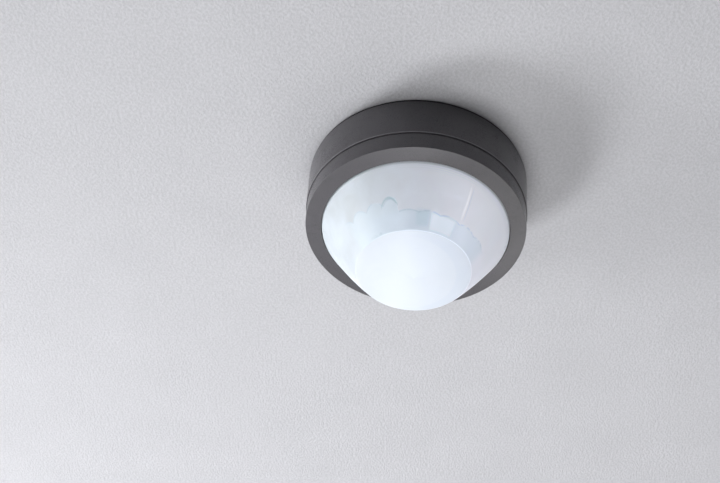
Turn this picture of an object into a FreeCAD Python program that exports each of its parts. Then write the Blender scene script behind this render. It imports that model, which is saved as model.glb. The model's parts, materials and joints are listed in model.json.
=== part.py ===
"""Round surface-mounted ceiling motion sensor, as an assembly of separate pieces.

Millimetres, +Z up. The origin is the centre of the face that meets the ceiling, and the sensor hangs
below it, so heights are given here as depths: a depth of 10 is z = -10. Azimuth 0 is +X.
"""
import FreeCAD, Part
import math
import os

V = FreeCAD.Vector
ORIGIN = V(0, 0, 0)
UP = V(0, 0, 1)

# ---------------------------------------------------------------- driving dimensions
# Housing: a base shell on the ceiling and a trim ring below it
housing_radius = 63.0        # outside
base_height = 26.6
base_wall = 3.0
base_floor = 2.4
stop_azimuths = (45, 135, 225, 315)
stop_depth = 2.4             # of the ribs in the base that the module stands against
stop_width = 3.0
seam_gap = 0.4
ring_height = 10.6
ring_wall = 2.2
ring_face = 1.6
ring_face_width = 10.0       # from the housing's edge to the lens opening
ring_face_drop = 1.2         # by which the face is deeper at the opening than at the edge
ring_rib_azimuths = (0, 30, 150, 180, 210, 240, 300, 330)
ring_rib_depth = 1.6
ring_rib_width = 1.2

# Ceiling side
gasket_thickness = 1.2
gasket_width = 5.4
gasket_inset = 0.4           # from the housing's edge
cable_bore_radius = 4.0
grommet_hole_radius = 8.0
grommet_lip = 2.0
grommet_flange = 1.4
grommet_proud = 1.0          # of its collar, above the back of the base
grommet_sides = 16
slot_spacing = 60.0
slot_length = 11.0
fixing_radius = 2.4
hole_spacing = 74.0
hole_offset = 28.0

# Sensor module
plate_thickness = 1.5
spigot_gap = 0.3             # between the module's wall and the base's wall
spigot_wall = 1.5
spigot_height = 9.0
lens_gap = 0.4               # around the lens collar, in the front plate
ring_lens_gap = 0.25         # around the lens collar, in the trim ring
control_margin = 0.6         # beside the controls, in the band between lens and module wall
pad_margin = 0.5             # beside the screw pads, in the same band
board_thickness = 1.6
board_gap = 0.2
board_sides = 16
cover_thickness = 1.5
cover_space = 1.4            # between back cover and board
cover_sides = 8
screw_azimuths = (22.5, 157.5, 247.5, 292.5)
head_sides = 12
shank_sides = 8
screw_radius = 1.1
screw_head_radius = 2.0
screw_head_height = 1.2
screw_gap = 0.05
hole_clearance_depth = 0.2   # beyond the end of a shaft, pin or screw, in its hole

# Lens: a thin dome whose inside is moulded into flat lens segments
lens_wall = 1.4
lens_lug = 1.6               # of the lugs that hold the lens, beyond its collar
lens_lug_thickness = 1.5
lens_lug_width = 9.0
lens_lug_azimuths = (0, 45, 135, 180, 225, 315)
cone_height = 30.6
cone_bend = 0.605            # share of the cone's height at which its side turns further inwards
cone_bend_radius = 40.8
cone_tip_radius = 31.9
cap_height = 5.4
segment_wall = 0.9           # thinnest wall, at the corners between lens segments
segment_tiers = (            # segments, and the tier's start and end as shares of the cone's height
    (24, 0.0, 0.36),
    (18, 0.36, 0.70),
    (12, 0.70, 0.97),
)
cap_segments = 8
cap_centre_radius = 10.0

# Controls on the front plate, under the trim ring
control_gap = 0.2
dial_azimuths = {"time_dial": -98, "light_dial": -82}
dial_body_height = 4.2
dial_body_floor = 2.0
dial_overhang = 0.2           # of its knob, over the body
dial_sides = 12
dial_height = 5.2
dial_shaft_radius = 1.0
dial_shaft_gap = 0.05
dial_slot_width = 0.8
dial_slot_depth = 1.2
switch_azimuth = 90
switch_count = 4
switch_pitch = 2.3
switch_end = 0.5             # of its body, beyond the last slot
switch_body_height = 4.8
switch_slot_depth = 1.6
slider_width = 1.3
slider_travel = 1.6
slider_proud = 1.0
slider_gap = 0.15
button_azimuth = 70
button_radius = 1.7
button_lip = 0.5
button_lip_height = 0.6
button_height = 5.4
button_travel = 0.5

# Spring parts
clip_azimuths = (45, 135, 225, 315)
clip_thickness = 0.4
clip_width = 7.0
clip_gap = 0.3               # between a clip's leg and the ring's inner wall
clip_foot = 5.0
clip_bump = 0.85
clip_length = 6.8
clip_bump_depth = 4.2        # of the bump's peak, below the front plate
clip_bump_half = 1.3         # half of the bump's height
clip_pocket_gap = 0.3        # around the bump, in the ring's pocket
catch_azimuths = (0, 180)
catch_thickness = 0.5
catch_width = 8.0
catch_foot = 8.0
catch_hook = 0.8
catch_gap = 0.3
catch_ledge = 1.7            # height of the carrier's ledge that the hook is under
catch_nose = 2.6             # height of the hook
stake_width = 1.8

# Power board and what stands on it
power_board_gap = 4.5        # from its corners to the wall of the base
power_board_corners = 8
power_board_edge = 14.0      # distance of its straight edge from the middle
power_board_stand = 2.4
post_width = 6.0
post_inset = 6.3             # of the posts, in from the board's corners
post_azimuths = (26.6, 153.4)
board_screw_radius = 1.25
board_screw_head_radius = 2.4
board_screw_head_height = 1.4
terminal_count = 4
terminal_pitch = 7.2
terminal_depth = 12.0
terminal_height = 8.8
terminal_edge = 1.0          # from the board's straight edge
wire_floor = 1.4             # under a wire's hole
wire_end = 3.0               # behind a wire's hole
wire_hole = 3.2
pusher_width = 3.3
pusher_length = 4.3
pusher_gap = 0.15
pusher_proud = 1.2
pusher_travel = 1.2
clamp_thickness = 0.4
clamp_gap = 0.2
relay_size = (26.0, 10.0, 9.6)          # along X, along Y and height, as for the parts below
relay_place = (0.0, 34.0)
film_capacitor_size = (15.0, 6.0, 9.4)
film_capacitor_place = (-27.0, 20.0)
fuse_size = (8.4, 4.2, 7.6)
fuse_place = (-24.0, 28.5)
rectifier_size = (8.0, 6.0, 2.6)
rectifier_place = (-9.0, 43.0)
transformer_size = (14.0, 12.0, 9.2)
transformer_place = (27.0, 21.0)
core_thickness = 2.2
winding_inset = 2.5          # of the winding, in from the ends of the core
winding_shoulder = 1.2       # and in from its sides
varistor_radius = 3.8
varistor_thickness = 3.6
varistor_inset = 9.3         # of the varistor's middle, in from the board's corners
varistor_azimuth = 141.0
capacitor_radius = 4.0
capacitor_length = 14.0
capacitor_places = ((23.0, 33.0), (11.0, 43.5))
plug_inset = 7.8             # of the plug's middle, in from the board's corners
plug_azimuth = 123.0
pin_count = 6
pin_pitch = 2.54
pin_width = 0.64
pin_hole = 1.2
socket_width = 5.0
socket_height = 8.4
plug_height = 3.4
pin_insertion = 6.0

# Sensor tower inside the lens
tower_base = 32.0
tower_height = 9.6
light_part_place = 2.5       # of the light sensor and the status light, out from the middle of the tower
light_sensor_size = (3.0, 2.4, 1.0)
status_light_size = (3.2, 1.8, 1.2)
can_sides = 12
can_radius = 4.1
can_height = 4.2
pane_width = 4.6
pane_height = 3.4
pane_thickness = 0.3

# Chips on the sensor board, inside the lens
microcontroller_size = (9.0, 9.0, 1.4)
microcontroller_place = (28.0, -22.0)
chip_size = (3.2, 1.6, 1.0)
chip_columns = (-33.0, -27.0, -21.0)
chip_rows = (-18.0, -24.0)
amplifier_size = (6.2, 5.0, 1.8)
amplifier_place = (-26.0, 22.0)

# ---------------------------------------------------------------- derived depths and radii
base_top = gasket_thickness
base_inside = base_top + base_floor
base_rim = base_top + base_height
base_inner_radius = housing_radius - base_wall
plate_bottom = base_rim
plate_top = plate_bottom - plate_thickness
spigot_radius = base_inner_radius - spigot_gap
spigot_inner_radius = spigot_radius - spigot_wall
spigot_top = plate_top - spigot_height
ring_hole_radius = housing_radius - ring_face_width
lens_radius = ring_hole_radius - ring_lens_gap          # of the collar, where it leaves the trim ring
lens_hole_radius = lens_radius + lens_gap
lens_lug_radius = lens_radius + lens_lug
board_bottom = plate_top - lens_lug_thickness
board_top = board_bottom - board_thickness
board_radius = spigot_inner_radius - board_gap
cover_bottom = board_top - cover_space
cover_top = cover_bottom - cover_thickness
control_room = spigot_inner_radius - lens_hole_radius
control_circle = lens_hole_radius + control_room / 2    # controls and module screws stand on it
control_width = control_room - 2 * control_margin
pad_width = control_room - 2 * pad_margin
ring_top = base_rim + seam_gap
ring_bottom = ring_top + ring_height
ring_inside = ring_bottom - ring_face
ring_inner_radius = housing_radius - ring_wall
cone_start = ring_bottom + ring_face_drop
cone_end = cone_start + cone_height
power_board_radius = base_inner_radius - power_board_gap
power_board_bottom = base_inside + power_board_stand
power_parts_top = power_board_bottom + board_thickness


# ---------------------------------------------------------------- helpers
def cylinder(radius, top, bottom, x=0, y=0):
    """A round bar between two depths."""
    return Part.makeCylinder(radius, bottom - top, V(x, y, -bottom))


def tube(outer, inner, top, bottom, x=0, y=0):
    return cylinder(outer, top, bottom, x, y).cut(cylinder(inner, top, bottom, x, y))


def block(width, length, top, bottom, x=0, y=0):
    """A box centred on x, y, with width along X and length along Y."""
    return Part.makeBox(width, length, bottom - top, V(x - width / 2, y - length / 2, -bottom))


def radial_block(inner, outer, width, top, bottom):
    """A box at azimuth 0 from one radius to another."""
    return block(outer - inner, width, top, bottom, x=(inner + outer) / 2)


def prism(sides, radius_above, above, radius_below, below, turn=0.0, x=0, y=0):
    """A solid with flat sides between two depths, its corners on a circle at each."""
    rims = []
    for radius, depth in ((radius_above, above), (radius_below, below)):
        places = [polar(radius, turn + 360 * i / sides) for i in range(sides)]
        rims.append([V(x + px, y + py, -depth) for px, py in places])
    upper, lower = rims
    loops = [upper, lower]
    for i in range(sides):
        j = (i + 1) % sides
        loops.append([upper[i], upper[j], lower[j], lower[i]])
    faces = [Part.Face(Part.makePolygon(loop + loop[:1])) for loop in loops]
    solid = Part.Solid(Part.Shell(faces))
    if solid.Volume < 0:
        solid.reverse()
    return solid


def shank(radius, top, bottom, x, y):
    """A screw's threaded length, or the hole for it."""
    return prism(shank_sides, radius, top, radius, bottom, x=x, y=y)


def screw(head_radius, head_top, head_bottom, radius, shank_top, shank_bottom, x, y):
    head = prism(head_sides, head_radius, head_top, head_radius, head_bottom, x=x, y=y)
    return head.fuse(shank(radius, shank_top, shank_bottom, x, y))


def outline(points, plane="XZ"):
    """A flat face from points of (distance, depth), in the XZ or YZ plane."""
    if plane == "XZ":
        corners = [V(a, 0, -depth) for a, depth in points]
    else:
        corners = [V(0, a, -depth) for a, depth in points]
    return Part.Face(Part.makePolygon(corners + corners[:1]))


def turned(points):
    """A solid of revolution about the sensor's axis, from points of (radius, depth)."""
    return outline(points).revolve(ORIGIN, UP, 360)


def strip(points, width):
    """A bent strip at azimuth 0: an outline of (radius, depth), made width wide."""
    face = outline(points)
    face.translate(V(0, -width / 2, 0))
    return face.extrude(V(0, width, 0))


def spun(shape, azimuth):
    """The shape, turned about the sensor's axis to an azimuth."""
    copy = shape.copy()
    copy.rotate(ORIGIN, UP, azimuth)
    return copy


def around(shape, azimuths):
    return [spun(shape, azimuth) for azimuth in azimuths]


def joined(shape, others):
    return shape.fuse(list(others)).removeSplitter()


def polar(radius, azimuth):
    turn = math.radians(azimuth)
    return radius * math.cos(turn), radius * math.sin(turn)


def save(node, shapes):
    """Write one node: a solid, or a group of separate solids."""
    solids = [solid for shape in shapes for solid in shape.Solids]
    whole = solids[0] if len(solids) == 1 else Part.makeCompound(solids)
    whole.exportStep(f"parts/{node}.step")
    print(f"{node}: {len(solids)} solid(s), {sum(s.Volume for s in solids):.1f} mm3")


os.makedirs("parts", exist_ok=True)

# ---------------------------------------------------------------- ceiling gasket
gasket_outer = housing_radius - gasket_inset
save("ceiling_gasket", [tube(gasket_outer, gasket_outer - gasket_width, 0, base_top)])

# ---------------------------------------------------------------- base housing
base = turned([
    (0, base_top),
    (housing_radius, base_top),
    (housing_radius, base_rim),
    (base_inner_radius, base_rim),
    (base_inner_radius, base_inside),
    (0, base_inside),
])
slot_straight = slot_length - 2 * fixing_radius
for side in (-1, 1):
    slot_x = side * slot_spacing / 2
    slot = block(slot_straight, 2 * fixing_radius, base_top, base_inside, x=slot_x)
    for end in (-1, 1):
        slot = slot.fuse(cylinder(fixing_radius, base_top, base_inside, slot_x + end * slot_straight / 2))
    base = base.cut(slot.removeSplitter())
    base = base.cut(cylinder(fixing_radius, base_top, base_inside, side * hole_spacing / 2, -hole_offset))
base = base.cut(cylinder(grommet_hole_radius, base_top, base_inside))

catch_radius = spigot_radius - catch_gap - catch_hook   # outer face of a catch's leg
stake_radius = catch_radius - catch_foot / 2 - catch_thickness
catch_stake = block(
    stake_width, stake_width, base_inside, base_inside + 2 * catch_thickness, x=stake_radius)
stop = radial_block(
    base_inner_radius - stop_depth, base_inner_radius + 0.5, stop_width, base_inside, spigot_top)
post_places = [polar(power_board_radius - post_inset, azimuth) for azimuth in post_azimuths]
posts = [block(post_width, post_width, base_inside, power_board_bottom, x, y) for x, y in post_places]
base = joined(base, posts + around(catch_stake, catch_azimuths) + around(stop, stop_azimuths))
thread_depth = base_inside + board_screw_head_height / 2
for x, y in post_places:
    base = base.cut(shank(board_screw_radius + screw_gap, thread_depth, power_board_bottom, x, y))
save("base_housing", [base])

# ---------------------------------------------------------------- cable grommet
grommet_bottom = base_inside + grommet_flange
grommet_top = base_top - grommet_proud
grommet_body = cylinder(grommet_hole_radius, grommet_top, base_inside)
flange_radius = grommet_hole_radius + grommet_lip
grommet = grommet_body.fuse(prism(grommet_sides, flange_radius, base_inside, flange_radius, grommet_bottom))
save("cable_grommet", [grommet.cut(cylinder(cable_bore_radius, grommet_top, grommet_bottom))])

# ---------------------------------------------------------------- power board and its screws
corner_azimuth = math.degrees(math.asin(power_board_edge / power_board_radius))
corner_step = (180 - 2 * corner_azimuth) / (power_board_corners - 1)
corners = [polar(power_board_radius, corner_azimuth + i * corner_step) for i in range(power_board_corners)]
board_outline = [V(x, y, -power_parts_top) for x, y in corners]
power_board = Part.Face(Part.makePolygon(board_outline + board_outline[:1])).extrude(UP * board_thickness)
board_screws = []
for x, y in post_places:
    power_board = power_board.cut(
        shank(board_screw_radius + screw_gap, power_board_bottom, power_parts_top, x, y))
    board_screws.append(screw(
        board_screw_head_radius, power_parts_top, power_parts_top + board_screw_head_height,
        board_screw_radius, thread_depth, power_parts_top, x, y))
save("power_board", [power_board])
save("board_screws", board_screws)

# ---------------------------------------------------------------- terminal block, clamps, pushers
terminal_y = power_board_edge + terminal_edge + terminal_depth / 2
terminal_bottom = power_parts_top + terminal_height
terminal_width = terminal_count * terminal_pitch + 2
pole_places = [(i - (terminal_count - 1) / 2) * terminal_pitch for i in range(terminal_count)]
wire_top = power_parts_top + wire_floor
wire_bottom = wire_top + wire_hole
wire_length = terminal_depth - wire_end
pusher_y = terminal_y - 0.5
pusher_bottom = terminal_bottom + pusher_proud
pusher_top = wire_bottom + 0.4
terminal = block(terminal_width, terminal_depth, power_parts_top, terminal_bottom, y=terminal_y)
clamps = []
for number, x in enumerate(pole_places, start=1):
    wire_y = terminal_y - terminal_depth / 2 + wire_length / 2
    terminal = terminal.cut(block(wire_hole, wire_length, wire_top, wire_bottom, x, wire_y))
    terminal = terminal.cut(block(
        pusher_width + 2 * pusher_gap, pusher_length + 2 * pusher_gap,
        pusher_top - pusher_travel - pusher_gap, terminal_bottom, x, pusher_y))
    clamp_end = wire_y + wire_length / 2 - clamp_gap
    clamp_start = clamp_end - wire_length + 1.5
    clamp_top = wire_top + 0.05
    clamp = outline([
        (clamp_end, clamp_top),
        (clamp_end, wire_bottom - 0.3),
        (clamp_end - clamp_thickness, wire_bottom - 0.3),
        (clamp_end - clamp_thickness, clamp_top + clamp_thickness),
        (clamp_start, clamp_top + clamp_thickness),
        (clamp_start, clamp_top),
    ], plane="YZ")
    clamp.translate(V(x - wire_hole / 2 + clamp_gap, 0, 0))
    clamps.append(clamp.extrude(V(wire_hole - 2 * clamp_gap, 0, 0)))
    pusher = block(pusher_width, pusher_length, pusher_top, pusher_bottom, x, pusher_y)
    save(f"terminal_pusher_{number}", [pusher])
save("terminal_block", [terminal])
save("terminal_clamps", clamps)


# ---------------------------------------------------------------- parts on the power board
def on_power_board(size, place):
    width, length, height = size
    return block(width, length, power_parts_top, power_parts_top + height, *place)


def lying_can(radius, length, x, y):
    """A many-sided can that lies on the power board along X."""
    can = prism(can_sides, radius, 0, radius, length, turn=180 / can_sides)
    can.rotate(ORIGIN, V(0, 1, 0), 90)
    flat = radius * math.cos(math.pi / can_sides)
    can.translate(V(x + length / 2, y, -power_parts_top - flat))
    return can


save("relay", [on_power_board(relay_size, relay_place)])
save("film_capacitor", [on_power_board(film_capacitor_size, film_capacitor_place)])
save("fuse", [on_power_board(fuse_size, fuse_place)])
save("rectifier", [on_power_board(rectifier_size, rectifier_place)])
core_width, core_length, core_height = transformer_size
winding_top = power_parts_top + core_thickness
winding_bottom = power_parts_top + core_height - core_thickness
save("transformer", [
    block(core_width, core_length, power_parts_top, winding_top, *transformer_place),
    block(core_width, core_length, winding_bottom, power_parts_top + core_height, *transformer_place)])
save("transformer_winding", [block(
    core_width - 2 * winding_inset, core_length - 2 * winding_shoulder,
    winding_top, winding_bottom, *transformer_place)])
varistor_place = polar(power_board_radius - varistor_inset, varistor_azimuth)
save("varistor", [lying_can(varistor_radius, varistor_thickness, *varistor_place)])
save("electrolytic_capacitors", [
    lying_can(capacitor_radius, capacitor_length, x, y) for x, y in capacitor_places])

# ---------------------------------------------------------------- socket and plug between the boards
plug_x, plug_y = polar(power_board_radius - plug_inset, plug_azimuth)
socket_length = pin_count * pin_pitch + 1
socket_bottom = power_parts_top + socket_height
pin_places = [plug_x + (i - (pin_count - 1) / 2) * pin_pitch for i in range(pin_count)]
socket = block(socket_length, socket_width, power_parts_top, socket_bottom, plug_x, plug_y)
for x in pin_places:
    hole_top = socket_bottom - pin_insertion - hole_clearance_depth
    socket = socket.cut(block(pin_hole, pin_hole, hole_top, socket_bottom, x, plug_y))
save("board_socket", [socket])

plug = block(socket_length, socket_width, board_top - plug_height, board_top, plug_x, plug_y)
pin_top = socket_bottom - pin_insertion
pins = [block(pin_width, pin_width, pin_top, board_top, x, plug_y) for x in pin_places]
save("module_plug", [joined(plug, pins)])

# ---------------------------------------------------------------- catches that hold the module
ledge_bottom = spigot_top + catch_ledge
catch_end = ledge_bottom + catch_nose
catch_inner = catch_radius - catch_thickness
catch = strip([
    (catch_radius - catch_foot, base_inside),
    (catch_radius, base_inside),
    (catch_radius, ledge_bottom + 0.2),
    (catch_radius + catch_hook, ledge_bottom + 0.4),
    (catch_radius + catch_hook, ledge_bottom + 1.0),
    (catch_radius, catch_end),
    (catch_inner, catch_end),
    (catch_inner, base_inside + catch_thickness),
    (catch_radius - catch_foot, base_inside + catch_thickness),
], catch_width)
catch = catch.cut(block(
    stake_width + 0.2, stake_width + 0.2, base_inside, base_inside + catch_thickness, x=stake_radius))
save("module_catches", around(catch, catch_azimuths))

# ---------------------------------------------------------------- carrier: front plate and wall
carrier = turned([
    (spigot_inner_radius, spigot_top),
    (spigot_radius, spigot_top),
    (spigot_radius, plate_bottom),
    (lens_hole_radius, plate_bottom),
    (lens_hole_radius, plate_top),
    (spigot_inner_radius, plate_top),
])
pad = radial_block(
    control_circle - pad_width / 2, spigot_inner_radius + 0.5, pad_width, board_bottom, plate_top)
clip_radius = ring_inner_radius - clip_gap              # outer face of a clip's leg
clip_stake_radius = clip_radius - clip_foot / 2 - clip_thickness
clip_stake = block(
    stake_width, stake_width, plate_bottom, plate_bottom + 2 * clip_thickness, x=clip_stake_radius)
carrier = joined(carrier, around(pad, screw_azimuths) + around(clip_stake, clip_azimuths))

screw_end = plate_top + plate_thickness / 2
screw_places = [polar(control_circle, azimuth) for azimuth in screw_azimuths]
for x, y in screw_places:
    carrier = carrier.cut(shank(screw_radius + screw_gap, board_bottom, screw_end, x, y))
window_width = control_width + 2 * control_gap
window = radial_block(
    control_circle - window_width / 2, control_circle + window_width / 2, window_width,
    plate_top, plate_bottom)
for azimuth in dial_azimuths.values():
    carrier = carrier.cut(spun(window, azimuth))
switch_length = switch_count * switch_pitch + 2 * switch_end
window = radial_block(
    control_circle - window_width / 2, control_circle + window_width / 2,
    switch_length + 2 * control_gap, plate_top, plate_bottom)
carrier = carrier.cut(spun(window, switch_azimuth))
button_x, button_y = polar(control_circle, button_azimuth)
carrier = carrier.cut(
    cylinder(button_radius + control_gap / 2, plate_top, plate_bottom, button_x, button_y))
catch_way = catch_width + 1.0
ledge_inner = catch_radius + catch_gap
behind_ledge = radial_block(spigot_inner_radius - 1, ledge_inner, catch_way, spigot_top, ledge_bottom)
catch_window = radial_block(
    spigot_inner_radius - 1, spigot_radius + 1, catch_way, ledge_bottom, catch_end + 0.4)
for azimuth in catch_azimuths:
    carrier = carrier.cut(spun(behind_ledge.fuse(catch_window), azimuth))
save("carrier", [carrier])

# ---------------------------------------------------------------- boards of the module and their screws
sensor_board = prism(board_sides, board_radius, board_top, board_radius, board_bottom, turn=90)
cover = prism(cover_sides, board_radius, cover_top, board_radius, cover_bottom, turn=180 / cover_sides)
spacer = radial_block(
    control_circle - pad_width / 2, control_circle + pad_width / 2, pad_width, cover_bottom, board_top)
cover = joined(cover, around(spacer, screw_azimuths))
module_screws = []
for x, y in screw_places:
    sensor_board = sensor_board.cut(shank(screw_radius + screw_gap, board_top, board_bottom, x, y))
    cover = cover.cut(shank(screw_radius + screw_gap, cover_top, board_top, x, y))
    module_screws.append(screw(
        screw_head_radius, cover_top - screw_head_height, cover_top,
        screw_radius, cover_top, screw_end, x, y))
cover = cover.cut(block(socket_length + 2, socket_width + 2, cover_top, cover_bottom, plug_x, plug_y))
save("sensor_board", [sensor_board])
save("module_back_cover", [cover])
save("module_screws", module_screws)


# ---------------------------------------------------------------- lens dome
def cone_radius(share):
    """Outer radius of the cone at a share of its height."""
    if share < cone_bend:
        return lens_radius + (cone_bend_radius - lens_radius) * share / cone_bend
    return cone_bend_radius + (cone_tip_radius - cone_bend_radius) * (share - cone_bend) / (1 - cone_bend)


cap_end = cone_end + cap_height
cap_ball_radius = (cone_tip_radius ** 2 + cap_height ** 2) / (2 * cap_height)
skirt = turned([
    (0, board_bottom),
    (lens_radius, board_bottom),
    (lens_radius, cone_start),
    (cone_bend_radius, cone_start + cone_height * cone_bend),
    (cone_tip_radius, cone_end),
    (0, cone_end),
])
lug = radial_block(lens_radius - lens_wall / 2, lens_lug_radius, lens_lug_width, board_bottom, plate_top)
skirt = joined(skirt, around(lug, lens_lug_azimuths))
# The cap is cut from a ball that lies on its side, so that it has no pole at the tip of the lens.
cap_ball = Part.makeSphere(cap_ball_radius, V(0, 0, cap_ball_radius - cap_end), V(1, 0, 0))
cap = cylinder(cone_tip_radius, cone_end, cap_end).common(cap_ball)
dome = skirt.fuse(cap)

# Its inside is moulded in tiers of flat segments, each one a lens that looks in its own direction.
hollow = cylinder(lens_radius - lens_wall, board_bottom, cone_start)
for sides, start, end in segment_tiers:
    hollow = hollow.fuse(prism(
        sides, cone_radius(start) - segment_wall, cone_start + cone_height * start,
        cone_radius(end) - segment_wall, cone_start + cone_height * end, turn=180 / sides))
last_share = segment_tiers[-1][2]
hollow = hollow.fuse(prism(
    cap_segments, cone_radius(last_share) - segment_wall - 0.4, cone_start + cone_height * last_share,
    cap_centre_radius, cap_end - 2 * segment_wall, turn=180 / cap_segments))
dome = dome.cut(hollow)
save("lens_dome", [dome])

# ---------------------------------------------------------------- sensor tower and sensors
tower_end = board_bottom + tower_height
tower_tip = tower_base - 2 * tower_height               # its four faces lean at 45 degrees
half_diagonal = math.sqrt(2) / 2
save("sensor_tower", [prism(
    4, tower_base * half_diagonal, board_bottom, tower_tip * half_diagonal, tower_end, turn=45)])

seat = V((tower_base + tower_tip) / 4, 0, -(board_bottom + tower_height / 2))
outward = V(1, 0, -1).normalize()
lean = FreeCAD.Placement(seat, FreeCAD.Rotation(UP, outward))
can = prism(can_sides, can_radius, -can_height, can_radius, 0)
can.Placement = lean
pane = Part.makeBox(
    pane_height, pane_width, pane_thickness, V(-pane_height / 2, -pane_width / 2, can_height))
pane.Placement = lean
sensor_azimuths = (0, 90, 180, 270)
save("pyro_sensors", around(can, sensor_azimuths))
save("pyro_windows", around(pane, sensor_azimuths))


def standing(size, place, top):
    """A small block, as (along X, along Y, height), on a face at a depth."""
    width, length, height = size
    return block(width, length, top, top + height, *place)


save("light_sensor", [standing(light_sensor_size, (light_part_place, 0), tower_end)])
save("status_light", [standing(status_light_size, (-light_part_place, 0), tower_end)])
save("microcontroller", [standing(microcontroller_size, microcontroller_place, board_bottom)])
chips = [standing(chip_size, (x, y), board_bottom) for x in chip_columns for y in chip_rows]
save("board_parts", chips + [standing(amplifier_size, amplifier_place, board_bottom)])

# ---------------------------------------------------------------- dials
dial_body_bottom = board_bottom + dial_body_height
dial_top = dial_body_bottom + control_gap
dial_bottom = dial_top + dial_height
dial_hole_top = board_bottom + dial_body_floor
dial_radius = control_width / 2 + dial_overhang
dial_body = radial_block(
    control_circle - control_width / 2, control_circle + control_width / 2,
    control_width, board_bottom, dial_body_bottom)
dial_body = dial_body.cut(cylinder(
    dial_shaft_radius + dial_shaft_gap, dial_hole_top, dial_body_bottom, control_circle))
save("dial_bodies", around(dial_body, dial_azimuths.values()))
dial = prism(dial_sides, dial_radius, dial_top, dial_radius, dial_bottom, x=control_circle)
dial = dial.fuse(cylinder(
    dial_shaft_radius, dial_hole_top + hole_clearance_depth, dial_top, control_circle))
dial = dial.cut(radial_block(
    control_circle - dial_radius, control_circle + dial_radius, dial_slot_width,
    dial_bottom - dial_slot_depth, dial_bottom))
for name, azimuth in dial_azimuths.items():
    save(name, [spun(dial, azimuth)])

# ---------------------------------------------------------------- mode switch
switch_bottom = board_bottom + switch_body_height
slider_slot = slider_width + slider_travel + 2 * slider_gap
slot_top = switch_bottom - switch_slot_depth
switch_body = radial_block(
    control_circle - control_width / 2, control_circle + control_width / 2,
    switch_length, board_bottom, switch_bottom)
for number in range(switch_count):
    offset = (number - (switch_count - 1) / 2) * switch_pitch
    slot = block(slider_slot, slider_width + 2 * slider_gap, slot_top, switch_bottom,
                 control_circle, offset)
    switch_body = switch_body.cut(slot)
    slider = block(slider_width, slider_width, slot_top + slider_gap, switch_bottom + slider_proud,
                   control_circle - slider_travel / 2, offset)
    save(f"mode_slider_{number + 1}", [spun(slider, switch_azimuth)])
save("switch_body", [spun(switch_body, switch_azimuth)])

# ---------------------------------------------------------------- program button
lip_bottom = plate_top - control_gap
lip_top = lip_bottom - button_lip_height
contact_width = 2 * (button_radius + button_lip)
contact = radial_block(
    control_circle - contact_width / 2, control_circle + contact_width / 2,
    contact_width, board_bottom, lip_top - button_travel - 0.05)
save("button_contact", [spun(contact, button_azimuth)])
lip_radius = button_radius + button_lip
button = prism(shank_sides, lip_radius, lip_top, lip_radius, lip_bottom, x=button_x, y=button_y)
button = button.fuse(cylinder(button_radius, lip_bottom, lip_bottom + button_height, button_x, button_y))
save("program_button", [button])

# ---------------------------------------------------------------- ring clips
clip_inner = clip_radius - clip_thickness
peak = plate_bottom + clip_bump_depth
clip_end = plate_bottom + clip_length
clip = strip([
    (clip_radius - clip_foot, plate_bottom),
    (clip_radius, plate_bottom),
    (clip_radius, peak - clip_bump_half),
    (clip_radius + clip_bump, peak),
    (clip_radius, peak + clip_bump_half),
    (clip_radius - clip_thickness, clip_end),
    (clip_inner - clip_thickness, clip_end),
    (clip_inner, peak + clip_bump_half),
    (clip_inner + clip_bump, peak),
    (clip_inner, peak - clip_bump_half),
    (clip_inner, plate_bottom + clip_thickness),
    (clip_radius - clip_foot, plate_bottom + clip_thickness),
], clip_width)
clip = clip.cut(block(
    stake_width + 0.2, stake_width + 0.2, plate_bottom, plate_bottom + clip_thickness, x=clip_stake_radius))
save("ring_clips", around(clip, clip_azimuths))

# ---------------------------------------------------------------- trim ring
ring = turned([
    (ring_inner_radius, ring_top),
    (housing_radius, ring_top),
    (housing_radius, ring_bottom),
    (ring_hole_radius, ring_bottom + ring_face_drop),
    (ring_hole_radius, ring_inside + ring_face_drop),
    (ring_inner_radius, ring_inside),
])
rib_inner = ring_inner_radius - ring_rib_depth
rib = radial_block(rib_inner, ring_inner_radius + 0.5, ring_rib_width, ring_top, ring_inside + ring_face / 2)
rib_foot = radial_block(rib_inner, spigot_radius, ring_rib_width, plate_bottom, ring_top)
ring = joined(ring, around(rib.fuse(rib_foot).removeSplitter(), ring_rib_azimuths))
pocket = radial_block(
    ring_inner_radius - 0.5, clip_radius + clip_bump + clip_pocket_gap / 2, clip_width + 2,
    peak - clip_bump_half - clip_pocket_gap, peak + clip_bump_half + clip_pocket_gap)
for azimuth in clip_azimuths:
    ring = ring.cut(spun(pocket, azimuth))
save("trim_ring", [ring])
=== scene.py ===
# %% [markdown]
# # A ceiling motion sensor
# The sensor is a low drum, 126 mm across, that hangs under a ceiling. It has a base, a trim ring that is
# pushed on below it, and a milky lens that looks down into the room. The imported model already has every
# part at its real size, so this script doesn't invent dimensions. It rounds edges, adds the small
# details that catch the light, and gives each material its finish. All depths are measured down from
# the ceiling, so a depth of 10 mm is z = -0.010.

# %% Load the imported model
import json
import math

import bmesh
import bpy
from mathutils import Matrix, Vector


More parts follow.
